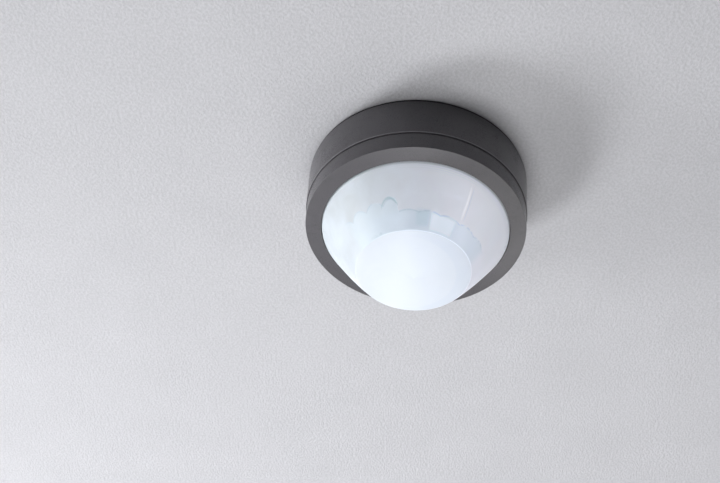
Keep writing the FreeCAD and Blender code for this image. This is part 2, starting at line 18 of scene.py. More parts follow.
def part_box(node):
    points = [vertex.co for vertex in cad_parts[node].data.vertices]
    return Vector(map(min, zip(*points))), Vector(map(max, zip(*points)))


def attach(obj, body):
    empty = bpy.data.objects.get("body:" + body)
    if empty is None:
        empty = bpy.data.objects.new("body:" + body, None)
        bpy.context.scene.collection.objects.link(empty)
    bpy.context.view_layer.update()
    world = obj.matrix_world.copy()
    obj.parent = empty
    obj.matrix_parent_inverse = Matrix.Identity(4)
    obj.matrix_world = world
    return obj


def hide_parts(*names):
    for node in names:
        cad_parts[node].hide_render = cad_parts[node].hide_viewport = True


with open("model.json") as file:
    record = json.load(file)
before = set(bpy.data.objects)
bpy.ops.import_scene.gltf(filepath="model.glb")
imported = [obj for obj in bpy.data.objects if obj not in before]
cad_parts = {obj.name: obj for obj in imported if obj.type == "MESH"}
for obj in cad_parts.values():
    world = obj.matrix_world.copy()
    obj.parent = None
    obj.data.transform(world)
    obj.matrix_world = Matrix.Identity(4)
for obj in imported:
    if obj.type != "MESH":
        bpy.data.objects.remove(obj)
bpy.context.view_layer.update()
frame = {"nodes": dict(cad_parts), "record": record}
nodes = frame["nodes"]
mm = 0.001
body_of = {node: body for body, members in frame["record"]["behaviour"]["bodies"].items() for node in members}

# %% [markdown]
# ## Camera
# The sensor is seen from the floor: the camera stands in front of it, half a metre lower, and looks up
# at about 45 degrees. It is aimed past the sensor at the ceiling, so the sensor sits up and to the right
# in the picture. A camera can be turned by angles, but three directions are easier to check: where it
# looks, what is up, and, from those two, what is right.

# %% Camera
camera_place = Vector((0.0, -0.5209, -0.5678))
aim = Vector((-0.0334, 0.0498, 0.0))
lean = Vector((-0.0483, -0.7059, 0.7066))
forward = (aim - camera_place).normalized()
right = forward.cross(lean).normalized()
camera = bpy.data.objects.new("camera", bpy.data.cameras.new("camera"))
camera.data.lens = 66.0
camera.matrix_world = Matrix.Translation(camera_place) @ Matrix(
    (right, right.cross(forward), -forward)).transposed().to_4x4()
bpy.context.scene.collection.objects.link(camera)
bpy.context.scene.camera = camera
print("camera", round((aim - camera_place).length, 3), "m from the ceiling")

# %% [markdown]
# ## Shader maths
# Every finish below is a pattern worked out from numbers: grain, flow marks, copper tracks. Wiring Math
# nodes by hand hides the formula, so a small class wraps a socket and lets the formula be written as
# ordinary Python. `1 - grain` then adds one Math node. Any other node comes from `Finish.node`, which
# takes the node's type, its settings, and what goes into its sockets.


# %% Signals
def operator(operation, swapped=False):
    """A Python operator that adds one Math node."""
    def apply(self, other):
        pair = (other, self) if swapped else (self, other)
        return self.finish.node("ShaderNodeMath", {"operation": operation}, {0: pair[0], 1: pair[1]})
    return apply


class Signal:
    """A socket that can be used in sums."""
    __add__, __radd__ = operator("ADD"), operator("ADD", True)
    __sub__, __rsub__ = operator("SUBTRACT"), operator("SUBTRACT", True)
    __mul__, __rmul__ = operator("MULTIPLY"), operator("MULTIPLY", True)
    __truediv__, __rtruediv__ = operator("DIVIDE"), operator("DIVIDE", True)
    __gt__ = operator("GREATER_THAN")

    def __init__(self, finish, socket):
        self.finish, self.socket = finish, socket

    def __abs__(self):
        return self.finish.node("ShaderNodeMath", {"operation": "ABSOLUTE"}, {0: self})


print("signals can be added, multiplied and compared")


# %% Finish
class Finish:
    """One material, built node by node around its Principled shader."""

    def __init__(self, name, **constants):
        self.material = bpy.data.materials.new(name)
        self.material.use_nodes = True
        self.tree = self.material.node_tree
        self.shader = self.tree.nodes["Principled BSDF"]
        self.place = self.node("ShaderNodeTexCoord", output="Object")
        for socket, value in constants.items():
            self.shader.inputs[socket.replace("_", " ")].default_value = value

    def node(self, kind, settings={}, sockets={}, output=0):
        """Adds a node, sets it up, feeds its sockets, and gives one of its outputs as a signal."""
        node = self.tree.nodes.new(kind)
        for name, value in settings.items():
            setattr(node, name, value)
        for name, value in sockets.items():
            self.feed(node.inputs[name], value)
        return Signal(self, node.outputs[output])

    def feed(self, socket, value):
        if isinstance(value, Signal):
            self.tree.links.new(value.socket, socket)
        elif socket.type == "RGBA":
            socket.default_value = (*value, 1)
        else:
            socket.default_value = value

    def wear(self, **sockets):
        """Lets signals drive the shader's own sockets."""
        for name, value in sockets.items():
            self.feed(self.shader.inputs[name.replace("_", " ")], value)


print("a finish can be built")


# %% Patterns that many finishes share
def noise(finish, size, detail=2.0, place=None, stretch=0.0):
    """A cloudy pattern from 0 to 1 whose spots are about size across."""
    return finish.node("ShaderNodeTexNoise", {}, {
        "Vector": place or finish.place, "Scale": 1 / size, "Detail": detail, "Distortion": stretch})


def ramp(finish, value, low, high):
    """0 below low, 1 above high, with a soft step between."""
    return finish.node("ShaderNodeMapRange", {"interpolation_type": "SMOOTHSTEP"},
                       {"Value": value, "From Min": low, "From Max": high})


def mix(finish, amount, first, second):
    """The first colour where the amount is 0, the second where it is 1."""
    return finish.node("ShaderNodeMix", {"data_type": "RGBA"}, {0: amount, 6: first, 7: second}, 2)


def relief(finish, height, depth, strength=1.0):
    """Turns a pattern from 0 to 1 into bumps of a depth in metres."""
    bump = finish.node("ShaderNodeBump", {}, {"Height": height, "Distance": depth, "Strength": strength})
    finish.wear(Normal=bump)


def axes(finish, place=None):
    """The x, y and z of the place on the surface."""
    return [finish.node("ShaderNodeSeparateXYZ", {}, {0: place or finish.place}, axis) for axis in range(3)]


def stretched(finish, scale, turn=0.0):
    """The place on the surface, scaled along each axis, for grain that runs one way."""
    return finish.node("ShaderNodeMapping", {}, {
        "Vector": finish.place, "Rotation": (0, 0, math.radians(turn)), "Scale": scale})


def humps(finish, value):
    """A row of round humps from 0 to 1. One hump ends where the value has grown by pi."""
    return abs(finish.node("ShaderNodeMath", {"operation": "SINE"}, {0: value}))


print("patterns ready")

# %% [markdown]
# ## Moulded plastic
# Most of the sensor is injection moulded. The steel mould is etched, so the plastic has a fine even
# grain that breaks up reflections, and it cools with faint cloudy flow marks. One function makes all of
# these plastics, because they differ only in colour, gloss, grain size and how deep the grain is. The
# base's plastic also has a paler band painted just above its lower edge: a painted highlight along the seam.

# %% Moulded plastics
base_edge = 27.35  # depth of the base's lower edge, in millimetres
highlight_half_width = 0.40  # half the width of the painted highlight band above that edge


def moulded(name, colour, roughness, grain=0.35 * mm, depth=0.012 * mm, cloud=0.06, gloss=0.5,
            highlight_edge_depth=None):
    """Plastic with a fine grain and flow marks. A painted highlight band goes above an edge that is given by
    its depth in millimetres.
    """
    finish = Finish(name, Specular_IOR_Level=gloss)
    fine = noise(finish, grain, 3)
    flow = noise(finish, 14 * mm, 2, stretch=0.6)
    dark = [channel * (1 - cloud) for channel in colour]
    pale = [channel * (1 + cloud) for channel in colour]
    tone = mix(finish, 0.35 * fine + 0.65 * flow, dark, pale)
    if highlight_edge_depth:
        # Painted highlight: a band 2.3 times paler, painted just above the edge, stands in for light caught
        # along it.
        from_band = abs(axes(finish)[2] + (highlight_edge_depth - highlight_half_width) * mm)
        painted_highlight_band = ramp(finish, from_band, highlight_half_width * mm, 0.25 * mm)
        tone = mix(finish, painted_highlight_band, tone, [channel * 2.3 for channel in colour])
    finish.wear(Base_Color=tone, Roughness=roughness - 0.04 + 0.06 * fine + 0.02 * flow)
    relief(finish, fine, depth)
    return finish.material


anthracite = moulded("anthracite_plastic", (0.082, 0.079, 0.086), 0.28, 0.32 * mm, cloud=0.05, gloss=0.3)
# The base's plastic has a pale band painted above its lower edge: a painted highlight along the seam.
anthracite_base = moulded("anthracite_plastic_painted_highlight", (0.080, 0.077, 0.084), 0.28, 0.32 * mm,
                          cloud=0.05, gloss=0.3, highlight_edge_depth=base_edge)
black_plastic = moulded("black_plastic", (0.020, 0.020, 0.022), 0.46, 0.5 * mm, 0.010 * mm, 0.15)
relay_plastic = moulded("relay_case_plastic", (0.016, 0.016, 0.018), 0.3, 0.2 * mm, 0.003 * mm, 0.1)
grey_plastic = moulded("light_grey_plastic", (0.36, 0.37, 0.38), 0.42, 0.4 * mm, 0.006 * mm)
white_plastic = moulded("white_plastic", (0.74, 0.74, 0.72), 0.38, 0.3 * mm, 0.005 * mm, 0.03)
orange_plastic = moulded("orange_plastic", (0.78, 0.22, 0.035), 0.36, 0.3 * mm, 0.005 * mm, 0.05)
print("seven moulded plastics")

# %% [markdown]
# ## Foam and rubber
# The gasket is closed-cell foam: a skin of tiny bubbles, which is what a Voronoi pattern draws. The cable
# grommet is rubber, which is smoother and goes faintly grey where it has been handled.


# %% Foam and rubber
def foam():
    finish = Finish("closed_cell_foam", Specular_IOR_Level=0.1)
    cells = finish.node("ShaderNodeTexVoronoi", {}, {"Vector": finish.place, "Scale": 1 / (0.55 * mm)})
    mottle = noise(finish, 3 * mm)
    black = mix(finish, cells * 0.6 + mottle * 0.4, (0.002, 0.002, 0.002), (0.010, 0.010, 0.011))
    finish.wear(Base_Color=black, Roughness=0.82 + 0.12 * mottle)
    relief(finish, cells, 0.10 * mm)
    return finish.material


def rubber():
    finish = Finish("cable_grommet_rubber")
    bloom = noise(finish, 2.4 * mm, 4)
    greyed = mix(finish, ramp(finish, bloom, 0.45, 0.8), (0.011, 0.011, 0.012), (0.045, 0.044, 0.043))
    finish.wear(Base_Color=greyed, Roughness=0.55 + 0.25 * bloom)
    relief(finish, noise(finish, 0.25 * mm), 0.006 * mm)
    return finish.material


gasket_foam = foam()
grommet_rubber = rubber()
print("foam and rubber")

# %% [markdown]
# ## Metals
# Zinc plating has a patchwork of crystals, so its shade changes in small flat cells. Spring strip is
# rolled, which leaves fine lines along its length. The sensor cans are nickel, smooth and a little warm,
# and the capacitors' bare ends are tinned. The four differ only in colour, gloss and pattern, so one
# function takes the pattern as another function.


# %% Metals
def metal(name, dull, bright, roughness, pattern_of):
    finish = Finish(name, Metallic=1.0)
    pattern = pattern_of(finish)
    tarnish = noise(finish, 5 * mm, 3)
    finish.wear(Base_Color=mix(finish, pattern * 0.6 + tarnish * 0.4, dull, bright),
                Roughness=roughness - 0.06 + 0.14 * tarnish)
    relief(finish, pattern, 0.003 * mm)
    return finish.material


def spangle(finish):
    return axes(finish, finish.node(
        "ShaderNodeTexVoronoi", {}, {"Vector": finish.place, "Scale": 1 / (0.7 * mm)}, "Color"))[0]


def rolled(finish):
    return noise(finish, mm, 3, stretched(finish, (18, 18, 0.8)))


def polished(finish):
    return noise(finish, 0.15 * mm, 2)


zinc_steel = metal("zinc_plated_steel", (0.46, 0.46, 0.44), (0.74, 0.74, 0.72), 0.34, spangle)
spring_steel = metal("rolled_spring_steel", (0.42, 0.42, 0.42), (0.66, 0.65, 0.63), 0.28, rolled)
nickel = metal("nickel_can", (0.55, 0.53, 0.49), (0.72, 0.70, 0.66), 0.2, polished)
tinned = metal("tinned_lead", (0.5, 0.5, 0.5), (0.78, 0.78, 0.77), 0.3, polished)
print("four metals")

# %% [markdown]
# ## Circuit boards
# A board is glass fibre with copper tracks under green lacquer. The tracks show as slightly lighter,
# raised lines that run square to the board, and tinned pads shine through round gaps in the lacquer. A
# Brick pattern has just such a net of straight lines, and a Voronoi pattern places the pads.


# %% Circuit board
def circuit_board():
    finish = Finish("green_circuit_board", Coat_Roughness=0.18)
    tracks = [finish.node("ShaderNodeTexBrick", {"offset": 0.37, "offset_frequency": 2}, {
        "Vector": stretched(finish, (1, 1, 1), turn), "Color1": (0, 0, 0), "Color2": (0, 0, 0),
        "Mortar": (1, 1, 1), "Scale": 1, "Mortar Size": 0.16 * mm, "Mortar Smooth": 0.1,
        "Brick Width": length, "Row Height": height}) for turn, length, height in (
            (0, 7.3 * mm, 2.1 * mm), (90, 11.9 * mm, 3.4 * mm))]
    dots = finish.node("ShaderNodeTexVoronoi", {"feature": "F1"}, {
        "Vector": finish.place, "Scale": 1 / (4.2 * mm), "Randomness": 0.85})
    pads = ramp(finish, dots, 0.13, 0.11)
    copper = finish.node("ShaderNodeMath", {"operation": "MAXIMUM"}, {0: tracks[0], 1: tracks[1]})
    weave = noise(finish, 0.4 * mm, 2, stretched(finish, (1, 3, 1)))
    green = mix(finish, weave * 0.5 + 0.25, (0.010, 0.085, 0.038), (0.018, 0.130, 0.060))
    lacquer = mix(finish, copper * 0.8, green, (0.035, 0.21, 0.085))
    finish.wear(Base_Color=mix(finish, pads, lacquer, (0.66, 0.63, 0.56)), Metallic=pads * 0.9,
                Roughness=0.34 + 0.1 * weave - 0.06 * pads, Coat_Weight=(1 - pads) * 0.35)
    relief(finish, copper * 0.6 + pads * 0.4, 0.035 * mm)
    return finish.material


board_green = circuit_board()
print("circuit board")

# %% [markdown]
# ## Finishes of the small electrical parts
# Ferrite is pressed powder and looks like fine dark stone. The winding is enamelled copper, laid in
# turns, and its bumps are the turns themselves. The varistor is dipped in blue resin, which pools in
# soft lumps. The capacitors wear a shrunk sleeve with one pale stripe that marks the minus lead. The
# windows of the sensors carry a thin dark film, and the light sensor and the status light are cast in
# clear resin.


# %% Ferrite, winding and dipped resin
def ferrite():
    finish = Finish("pressed_ferrite")
    powder = noise(finish, 0.25 * mm, 4)
    finish.wear(Base_Color=mix(finish, powder, (0.022, 0.022, 0.024), (0.085, 0.084, 0.086)),
                Roughness=0.5 + 0.2 * powder)
    relief(finish, powder, 0.02 * mm)
    return finish.material


def winding():
    finish = Finish("enamelled_copper_winding", Coat_Weight=0.6, Coat_Roughness=0.15)
    turns = humps(finish, axes(finish)[2] / (0.42 * mm) * math.pi)
    patchy = noise(finish, 2 * mm)
    # Painted shade: the copper is painted dark in the creases between the turns, where shade falls.
    copper = mix(finish, turns * (0.6 + 0.4 * patchy), (0.10, 0.022, 0.006), (0.72, 0.27, 0.07))
    finish.wear(Base_Color=copper, Metallic=0.85, Roughness=0.28 + 0.14 * patchy)
    relief(finish, turns, 0.12 * mm)
    return finish.material


def dipped(name, colour, lumps=1.6 * mm):
    finish = Finish(name, Coat_Weight=0.5, Coat_Roughness=0.12)
    pooled = noise(finish, lumps, 2)
    dark = [channel * 0.7 for channel in colour]
    finish.wear(Base_Color=mix(finish, pooled, dark, colour), Roughness=0.3 + 0.12 * pooled)
    relief(finish, pooled, 0.12 * mm)
    return finish.material


ferrite_core = ferrite()
copper_winding = winding()
blue_resin = dipped("blue_dipped_resin", (0.04, 0.16, 0.42))
brown_ceramic = moulded("fired_ceramic", (0.26, 0.21, 0.155), 0.5, 0.2 * mm, 0.006 * mm, 0.12)
print("ferrite, winding, dipped resin and fired ceramic")

# %% Sleeve, window and resin
stripe_depth = 13.2


def sleeve():
    finish = Finish("shrunk_sleeve", Coat_Weight=0.3, Coat_Roughness=0.2)
    wrinkle = noise(finish, mm, 3, stretched(finish, (0.4, 2, 2)))
    stripe = ramp(finish, abs(axes(finish)[2] + stripe_depth * mm), 1.1 * mm, 1.0 * mm)
    film = mix(finish, wrinkle, (0.010, 0.014, 0.030), (0.022, 0.030, 0.060))
    finish.wear(Base_Color=mix(finish, stripe, film, (0.42, 0.44, 0.46)), Roughness=0.32 + 0.12 * wrinkle)
    relief(finish, wrinkle, 0.02 * mm)
    return finish.material


def filter_window():
    finish = Finish("infrared_filter_window", Coat_Weight=1.0, Coat_Roughness=0.04)
    film = noise(finish, 3 * mm, 1)
    finish.wear(Base_Color=mix(finish, film, (0.06, 0.045, 0.06), (0.13, 0.10, 0.09)),
                Roughness=0.12 + 0.06 * film, Metallic=0.35 + 0.2 * film)
    relief(finish, noise(finish, 0.4 * mm), 0.001 * mm)
    return finish.material


def clear_resin():
    finish = Finish("clear_cast_resin", Coat_Weight=0.8, Coat_Roughness=0.06)
    cast = noise(finish, 0.8 * mm, 2)
    finish.wear(Base_Color=mix(finish, cast, (0.80, 0.76, 0.58), (0.93, 0.92, 0.86)),
                Roughness=0.12 + 0.1 * cast, Alpha=0.72 + 0.2 * cast)
    relief(finish, cast, 0.01 * mm)
    return finish.material


capacitor_sleeve = sleeve()
infrared_window = filter_window()
cast_resin = clear_resin()
print("sleeve, window and resin")

# %% [markdown]
# ## The opal lens
# The lens is one thin moulding. Outside it is smooth, and inside it is cut into tiers of segments, each
# of which looks at its own part of the room. Light through the milky plastic shows them faintly: arches
# where one tier ends and the next begins, a rib between two segments, and a step in shade round the
# bright round tip. All of it follows two numbers, so the finish works them out first: how far round the
# lens a point is, in degrees from the front, and its share of the way down the cone. Each mark is then a
# mask, 1 where the mark is and 0 elsewhere, and one tint after another is mixed in through its mask. A
# faint glow stands for the light that a real lens lets through from its far side.

# %% Sizes of the lens
ring_face = -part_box("trim_ring")[0].z / mm
lens_top = -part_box("lens_dome")[1].z / mm
lens_tip = -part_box("lens_dome")[0].z / mm
collar_radius, bend_radius, tip_radius = 52.75, 40.8, 31.9
cap_height = 5.4
cone_height = lens_tip - cap_height - ring_face
bend_share = 0.605
bend_depth = ring_face + bend_share * cone_height
print("cone from", round(ring_face, 2), "to", round(ring_face + cone_height, 2), "mm below the ceiling")


# %% Bands and arches
def within(finish, value, low, high, soft):
    """1 between low and high, 0 outside, with soft sides."""
    return ramp(finish, value, low - soft, low + soft) * ramp(finish, value, high + soft, high - soft)


def line(finish, distance, width):
    """A soft line where the distance is 0."""
    return ramp(finish, abs(distance), width, 0.0)


def arches(finish, turn, middle, half_width, rise, top):
    """The share of the way down at which a row of arches runs. They are lowest where two of them meet."""
    local = finish.node("ShaderNodeMath", {"operation": "WRAP"}, {
        0: turn - middle, 1: half_width, 2: -half_width})
    return local * local * (rise / half_width ** 2) + top


print("bands and arches")


# %% What shows through the wall
def segments(finish, turn, share, cloud):
    """Masks of the second tier, its edge, one taller arch, a rib and its shade, a pane and small marks."""
    left = ramp(finish, turn, -14, -16)
    tier_edge = (left * arches(finish, turn, -33.5, 7.5, 0.09, 0.52)
                 + (1 - left) * arches(finish, turn, 11, 9, 0.035, 0.71))
    seen_tier = within(finish, turn, -62, 75, 6)
    broken = ramp(finish, cloud, 0.38, 0.6)
    rib_turn = turn - 4.5 * share
    rib_length = within(finish, share, 0.17, 0.66, 0.05)
    lone_arch = arches(finish, turn, -21.0, 7.0, 0.13, 0.505)
    return {
        "tier": ramp(finish, share, tier_edge - 0.02, tier_edge + 0.02) * seen_tier,
        "edge": line(finish, share - tier_edge, 0.022) * broken * seen_tier,
        "arch": line(finish, share - lone_arch, 0.035) * within(finish, turn, -27.5, -14.5, 0.8),
        "rib": within(finish, rib_turn, 34.4, 36.0, 0.5) * rib_length,
        "rib_shade": within(finish, rib_turn, 36.6, 37.6, 0.6) * rib_length,
        "pane": within(finish, turn, 13, 34, 1.2) * within(finish, share, 0.74, 0.97, 0.02),
        "shade": within(finish, turn, 0, 11, 2) * within(finish, share, 0.70, 0.93, 0.05),
        "rim": within(finish, turn, -46, -33, 1) * within(finish, share, 0.955, 0.995, 0.012) * broken,
        "collar": ramp(finish, share, 0.16, 0.02) * humps(finish, share * 95)}


print("nine masks for the lens")


# %% Cone and tip
def cone_colour(finish, side, share, milk, seen):
    """Milky plastic, painted darker and cooler on the left as painted shade against the strong light from the
    left, with the tints of what shows through.
    """
    # Painted shade: darker towards the left, where the side light falls strongest.
    tone = mix(finish, side, (0.38, 0.415, 0.44), (0.71, 0.71, 0.785))
    for amount, tint in (
            (0.5 * milk, (0.68, 0.76, 0.86)),
            (seen["tier"] * 0.45, (0.52, 0.62, 0.70)),
            (seen["shade"] * 0.40, (0.44, 0.56, 0.62)),
            (seen["pane"] * 0.6, (0.76, 0.83, 0.90)),
            (seen["edge"] * 0.5, (0.36, 0.46, 0.54)),
            (seen["arch"] * 0.60, (0.28, 0.42, 0.47)),
            (seen["rim"] * 0.5, (0.36, 0.45, 0.50)),
            (seen["rib"] * 0.45, (0.95, 0.93, 0.97)),
            (seen["rib_shade"] * 0.3, (0.45, 0.45, 0.52)),
            # Fine rings near the collar, stronger towards the right: partly the lens's own fine rings, partly
            # a painted reflection of the trim ring.
            (seen["collar"] * (0.12 + 0.22 * side), (0.42, 0.46, 0.50)),
            # Painted shade: a dark band along the top of the cone, where it meets the opening of the trim
            # ring.
            (ramp(finish, share, 0.045, 0.0) * 0.5, (0.30, 0.33, 0.35))):
        tone = mix(finish, amount, tone, tint)
    return tone


def tip_colour(finish, x, y, milk):
    """The round tip, painted darker on the left as painted shade against the strong light from the left, with
    a painted shade crescent along its right-hand side.
    """
    from_left = x + 5 * mm
    # Painted shade: a darker, bluer crescent along the right of the tip, where the dome turns away from the
    # light.
    painted_shade_crescent = ramp(finish, from_left * from_left + y * y, (27.5 * mm) ** 2, (29 * mm) ** 2)
    # Painted shade: the tip is painted darker towards the left, where the side light falls strongest.
    tone = mix(finish, ramp(finish, x, -32 * mm, -4 * mm), (0.49, 0.53, 0.58), (0.625, 0.675, 0.745))
    tone = mix(finish, painted_shade_crescent * ramp(finish, x, -10 * mm, 10 * mm) * 0.6, tone, (0.58, 0.64, 0.73))
    return mix(finish, 0.25 * milk, tone, (0.70, 0.73, 0.79))


print("cone and tip")


# %% Opal lens finish
def opal():
    """Milky plastic that shows the segments behind it."""
    finish = Finish("opal_lens_plastic", Coat_Roughness=0.35, Subsurface_Weight=0.6, Subsurface_Scale=0.004,
                    Subsurface_Radius=(1.0, 1.0, 1.0), Emission_Strength=1.0)
    x, y, z = axes(finish)
    turn = finish.node("ShaderNodeMath", {"operation": "ARCTAN2"}, {0: x, 1: y * -1}) * math.degrees(1)
    share = (z * -1 - ring_face * mm) / (cone_height * mm)
    side = ramp(finish, x, -46 * mm, 30 * mm)
    milk = noise(finish, 16 * mm, 3, stretch=0.8)
    cloud = noise(finish, 5 * mm, 3, stretch=0.5)
    seen = segments(finish, turn, share, cloud)
    on_tip = ramp(finish, x * x + y * y, (31.55 * mm) ** 2, (31.25 * mm) ** 2) * (share > 0.9)
    milky = mix(finish, on_tip, cone_colour(finish, side, share, milk, seen), tip_colour(finish, x, y, milk))
    lit = 0.03 + 0.25 * ramp(finish, abs(turn - 10), 80, 15) + 0.17 * side
    glow = mix(finish, lit * (1 - 0.85 * on_tip) + 0.08 * seen["rib"], (0, 0, 0), milky)
    finish.wear(Base_Color=milky, Roughness=0.50 + 0.10 * cloud, Coat_Weight=0.04 + 0.05 * cloud,
                Emission_Color=glow)
    height = (1 - seen["tier"]) * 0.6 + seen["rib"] * 0.8 - seen["arch"] * 0.5 + cloud * 0.08
    relief(finish, height, 0.12 * mm)
    return finish.material


opal_plastic = opal()
print(len(opal_plastic.node_tree.nodes), "nodes in the lens finish")

# %% [markdown]
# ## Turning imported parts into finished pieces
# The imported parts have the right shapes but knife-sharp edges, and no real edge is that sharp. The
# light caught by a small round is what makes a moulding look moulded. So most parts are finished in the
# same way: copy the part's mesh, merge its loose triangles into one skin, bring flat faces back
# together, and bevel every edge that turns sharply. The bevel cuts inwards, so no part grows.


# %% Finished pieces
def finished(name, shape, finishes, node, smooth_below=38):
    """Makes an object of a bmesh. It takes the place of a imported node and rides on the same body."""
    mesh = bpy.data.meshes.new(name)
    shape.to_mesh(mesh)
    shape.free()
    for polygon in mesh.polygons:
        polygon.use_smooth = True
    mesh.set_sharp_from_angle(angle=math.radians(smooth_below))
    for finish in finishes:
        mesh.materials.append(finish)
    piece = bpy.data.objects.new(name, mesh)
    bpy.context.scene.collection.objects.link(piece)
    even = piece.modifiers.new("even_shading", "WEIGHTED_NORMAL")
    even.keep_sharp, even.weight = True, 100
    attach(piece, body_of[node])
    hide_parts(node)
    return piece


print("pieces can be finished")


# %% Skins and soft edges
def skin_of(node):
    """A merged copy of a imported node's mesh."""
    shape = bmesh.new()
    shape.from_mesh(nodes[node].data)
    bmesh.ops.remove_doubles(shape, verts=shape.verts, dist=0.001 * mm)
    bmesh.ops.dissolve_limit(shape, angle_limit=math.radians(0.5), verts=shape.verts, edges=shape.edges)
    return shape


def loop_at(shape, depth, smallest=0.0):
    """The edges that lie at one depth, further from the axis than a radius."""
    return [edge for edge in shape.edges if all(
        abs(vert.co.z + depth * mm) < 0.01 * mm and vert.co.xy.length > smallest * mm for vert in edge.verts)]


def bevelled(shape, edges, width, steps):
    """Bevels edges by a width in millimetres."""
    bmesh.ops.bevel(shape, geom=edges, offset=width * mm, offset_type="OFFSET", segments=steps,
                    profile=0.5, affect="EDGES", material=-1)


def soften(shape, width, sharper_than=30, steps=2):
    """Rounds every edge that turns by more than an angle."""
    bevelled(shape, [edge for edge in shape.edges if edge.is_manifold
                     and edge.calc_face_angle() > math.radians(sharper_than)], width, steps)


def rounded(node, width, finish, sharper_than=30, steps=2):
    """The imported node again, with soft edges."""
    shape = skin_of(node)
    soften(shape, width, sharper_than, steps)
    return finished(node + "_rounded", shape, [finish], node)


print("edges can be softened")

# %% [markdown]
# ## Housing
# The base and the trim ring are the dark drum, with a narrow seam between them. A moulding has to slide
# out of its mould, so each is a little narrower at its lower edge, and the trim ring stands back by half
# a millimetre, so the edge of the base shows as a thin pale line along the dark seam. A chamfer at the
# top of the base leaves the black gasket in view. It stays crisp, so only edges sharper than a chamfer's
# are rounded.

# %% Base and trim ring
ring_edge = 38.8
gasket_depth = 1.2
drum_radius = 62.9  # every corner further out than this is on the drum's wall


def drafted(node, finish, seam, draft, lift, step=0.0):
    """A part of the drum, narrower towards its lower edge, with its edge at the seam lifted."""
    shape = skin_of(node)
    for vert in shape.verts:
        if vert.co.xy.length > drum_radius * mm:
            vert.co.xy *= 1 - (step * mm - draft * vert.co.z / ring_edge) / vert.co.xy.length
    rim = {vert for edge in loop_at(shape, seam, smallest=62) for vert in edge.verts}
    bmesh.ops.translate(shape, vec=(0, 0, lift * mm), verts=list(rim))
    bevelled(shape, loop_at(shape, gasket_depth, smallest=drum_radius), 0.4, 1)
    soften(shape, 0.14, sharper_than=50)
    return finished(node + "_drafted", shape, [finish], node)


# The pale line along the seam is partly the base's edge standing out past the trim ring and partly the
# painted highlight band in the base's plastic.
housing = [drafted("base_housing", anthracite_base, 27.8, 0.35, 27.8 - base_edge),
           drafted("trim_ring", anthracite, 28.2, 0.7, 0.3, step=0.3)]
print([len(piece.data.polygons) for piece in housing], "faces in base and trim ring")

# %% Gasket, grommet and carrier
rounded("ceiling_gasket", 0.3, gasket_foam, steps=3)
rounded("cable_grommet", 0.35, grommet_rubber, steps=3)
rounded("carrier", 0.12, black_plastic)
rounded("module_back_cover", 0.25, black_plastic)
print("gasket, grommet, carrier and back cover")

# %% [markdown]
# ## Lens
# The lens is turned rather than copied, because its smooth outside is the most visible surface of all.
# A spin makes the outside from an outline. Bevelling the loop at the bend turns the two straight parts
# of the cone into one gentle curve. Inside, circles with fewer and fewer corners are bridged to each
# other, and each flat strip between two circles is one lens segment.


# %% Spin
def spun(shape, points, steps, centre=(0, 0, 0), axis=(0, 0, 1), out=(1, 0, 0), along=(0, 0, -1)):
    """Spins an outline of (distance from the axis, distance along it), in millimetres."""
    centre, axis, out, along = Vector(centre) * mm, Vector(axis), Vector(out), Vector(along)
    corners = [shape.verts.new(centre + out * radius * mm + along * way * mm) for radius, way in points]
    edges = [shape.edges.new(pair) for pair in zip(corners, corners[1:])]
    bmesh.ops.spin(shape, geom=corners + edges, cent=centre, axis=axis, angle=math.tau, steps=steps,
                   use_merge=True)
    bmesh.ops.remove_doubles(shape, verts=shape.verts, dist=0.0005 * mm)


print("outlines can be spun")

# %% Outside of the lens
lug_height = 1.5
cone_end = ring_face + cone_height
cap_ball = (tip_radius ** 2 + cap_height ** 2) / (2 * cap_height)
dome = [(radius, lens_tip - cap_ball + math.sqrt(cap_ball ** 2 - radius ** 2)) for radius in (
    31.6, 30.0, 26.0, 21.0, 16.0, 11.0, 6.0, 2.5)]
collar = [(collar_radius, lens_top), (collar_radius, lens_top + lug_height), (collar_radius, ring_face)]
cone = [(bend_radius, bend_depth), (tip_radius, cone_end - 0.15), (tip_radius - 0.4, cone_end + 0.02)]
lens = bmesh.new()
spun(lens, collar + cone + dome + [(0, lens_tip)], 144)
bevelled(lens, loop_at(lens, bend_depth), 8, 8)
bevelled(lens, loop_at(lens, ring_face), 1.2, 4)
print(len(lens.faces), "faces outside")

# %% Lugs that hold the lens
lug_azimuths = (0, 45, 135, 180, 225, 315)
lug_half_width = 5
lug_radius = 54.3


def on_a_lug(face):
    """True for a face of the collar that lies within a lug's width."""
    middle = face.calc_center_median()
    azimuth = math.degrees(math.atan2(middle.y, middle.x))
    return -middle.z / mm < lens_top + lug_height and any(
        abs((azimuth - lug + 180) % 360 - 180) < lug_half_width for lug in lug_azimuths)


def corners_of(made):
    """The corners among the parts that an operator made."""
    return [part for part in made["geom"] if isinstance(part, bmesh.types.BMVert)]


lug_faces = [face for face in lens.faces if on_a_lug(face)]
pushed = corners_of(bmesh.ops.extrude_face_region(lens, geom=lug_faces))
bmesh.ops.delete(lens, geom=lug_faces, context="FACES_KEEP_BOUNDARY")
reach = lug_radius / collar_radius
bmesh.ops.scale(lens, vec=(reach, reach, 1), verts=pushed)
print(len(lug_faces), "faces pushed out into", len(lug_azimuths), "lugs")


# %% Inside of the lens
def cone_radius(share):
    """Outer radius of the cone at a share of its height."""
    if share < bend_share:
        return collar_radius + (bend_radius - collar_radius) * share / bend_share
    return bend_radius + (tip_radius - bend_radius) * (share - bend_share) / (1 - bend_share)


def edges_between(corners):
    """The edges of a loop of corners, always in the same order."""
    return list(dict.fromkeys(edge for vert in corners for edge in vert.link_edges))


def circle(shape, sides, radius, depth):
    """A loop of edges, with a corner half a side round from the x axis."""
    place = Matrix.Translation((0, 0, -depth * mm)) @ Matrix.Rotation(math.pi / sides, 4, "Z")
    made = bmesh.ops.create_circle(shape, segments=sides, radius=radius * mm, matrix=place)
    return edges_between(made["verts"])


